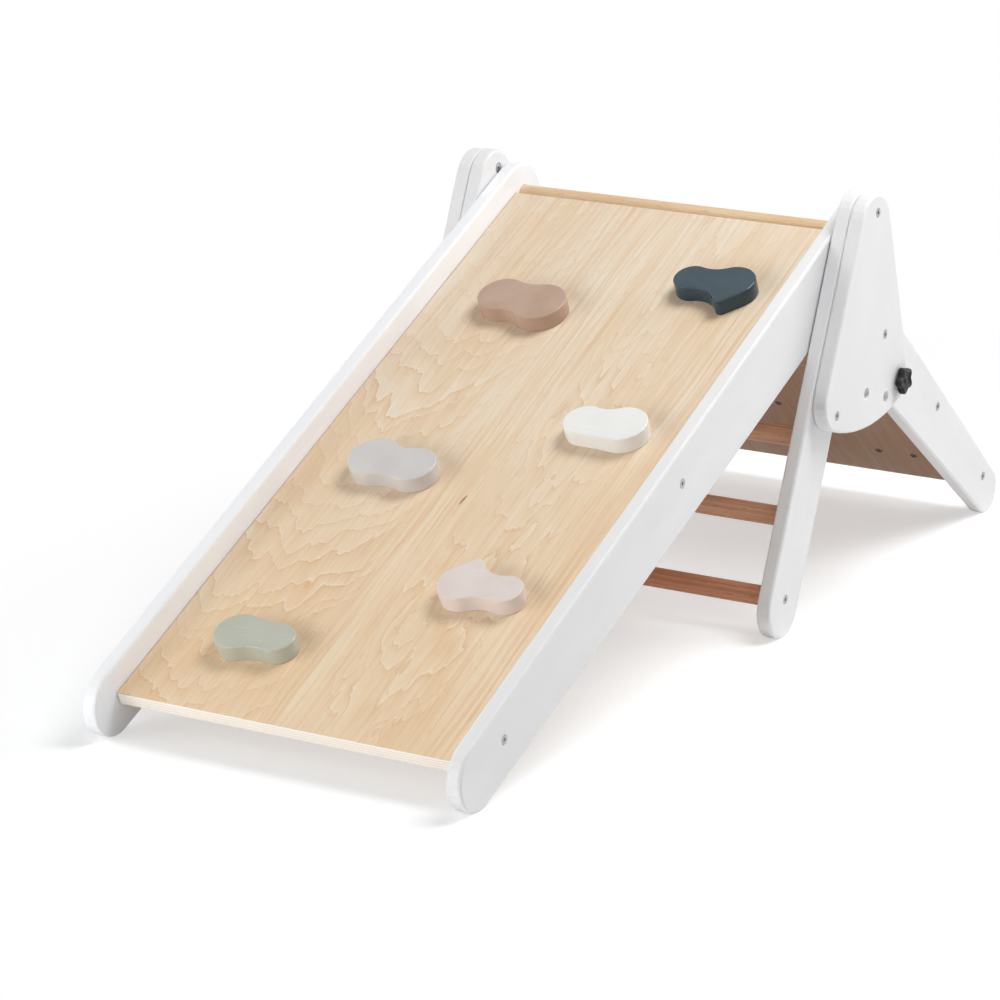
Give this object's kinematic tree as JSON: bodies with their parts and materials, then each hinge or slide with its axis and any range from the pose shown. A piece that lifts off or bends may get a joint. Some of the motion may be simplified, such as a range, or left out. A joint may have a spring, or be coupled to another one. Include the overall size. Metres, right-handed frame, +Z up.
{
  "type": "climbing triangle with ramp",
  "caption": "Folding wooden climbing triangle with rungs, a rear climbing panel and a hooked-on climbing ramp with coloured pebble holds.",
  "frame": {"origin": "on the floor, at the middle of the object's footprint", "axes": "+Z up; +Y from the ramp's foot to the rear frame's feet; +X across, to the right for one who climbs the ramp"},
  "size_m": [0.5772, 1.3152, 0.4972],
  "materials": {
    "painted_boards": "satin white paint",
    "birch_plywood": "clear matt lacquer",
    "beech": "clear matt lacquer",
    "steel": "zinc plated",
    "black_plastic": "moulded, matt",
    "taupe_paint": "satin paint",
    "slate_paint": "satin paint",
    "white_hold_paint": "satin paint",
    "lilac_grey_paint": "satin paint",
    "pale_pink_paint": "satin paint",
    "sage_paint": "satin paint"
  },
  "bodies": {
    "front_frame": {"front_leg_right": "painted_boards", "front_leg_left": "painted_boards", "fan_plate_right": "painted_boards", "fan_plate_left": "painted_boards", "rung_1": "beech", "rung_2": "beech", "rung_3": "beech", "rung_4": "beech", "rung_5": "beech", "rung_screw_right": "steel", "rung_screw_left": "steel", "top_bolt_right": "steel", "top_bolt_left": "steel", "top_nut_right": "steel", "top_nut_left": "steel", "lower_bolt_right": "steel", "lower_bolt_left": "steel", "lower_nut_right": "steel", "lower_nut_left": "steel", "pivot_bolt_right": "steel", "pivot_bolt_left": "steel", "pivot_nut_right": "steel", "pivot_nut_left": "steel"},
    "rear_frame": {"rear_leg_right": "painted_boards", "rear_leg_left": "painted_boards", "rear_panel": "birch_plywood", "rear_hold_sage": "sage_paint", "rear_hold_pink": "pale_pink_paint", "rear_hold_white": "white_hold_paint", "rear_hold_taupe": "taupe_paint", "rear_hold_slate": "slate_paint", "rear_screw_right_1": "steel", "rear_screw_right_2": "steel", "rear_screw_right_3": "steel", "rear_screw_left_1": "steel", "rear_screw_left_2": "steel", "rear_screw_left_3": "steel", "lock_insert_right": "steel", "lock_insert_left": "steel"},
    "ramp": {"ramp_rail_right": "painted_boards", "ramp_rail_left": "painted_boards", "ramp_panel": "birch_plywood", "ramp_head_dowel": "beech", "hold_sage": "sage_paint", "hold_pink": "pale_pink_paint", "hold_lilac": "lilac_grey_paint", "hold_white": "white_hold_paint", "hold_taupe": "taupe_paint", "hold_slate": "slate_paint", "ramp_screw_right_1": "steel", "ramp_screw_right_2": "steel", "ramp_screw_right_3": "steel", "ramp_screw_left_1": "steel", "ramp_screw_left_2": "steel", "ramp_screw_left_3": "steel"},
    "lock_right": {"lock_knob_right": "black_plastic", "lock_stud_right": "steel"},
    "lock_left": {"lock_knob_left": "black_plastic", "lock_stud_left": "steel"}
  },
  "joints": [
    {"name": "rear_frame_fold", "type": "hinge", "parent": "front_frame", "child": "rear_frame", "pos_m": [0, 0.26522, 0.31981], "axis": [1, 0, 0], "range_deg": [-71, 0]},
    {"name": "ramp_tilt", "type": "hinge", "parent": "front_frame", "child": "ramp", "pos_m": [0, 0.20081, 0.39134], "axis": [1, 0, 0], "range_deg": [-24, 0]},
    {"name": "lock_right_pull", "type": "slide", "parent": "front_frame", "child": "lock_right", "axis": [1, 0, 0], "range_m": [0, 0.03]},
    {"name": "lock_left_pull", "type": "slide", "parent": "front_frame", "child": "lock_left", "axis": [-1, 0, 0], "range_m": [0, 0.03]}
  ]
}
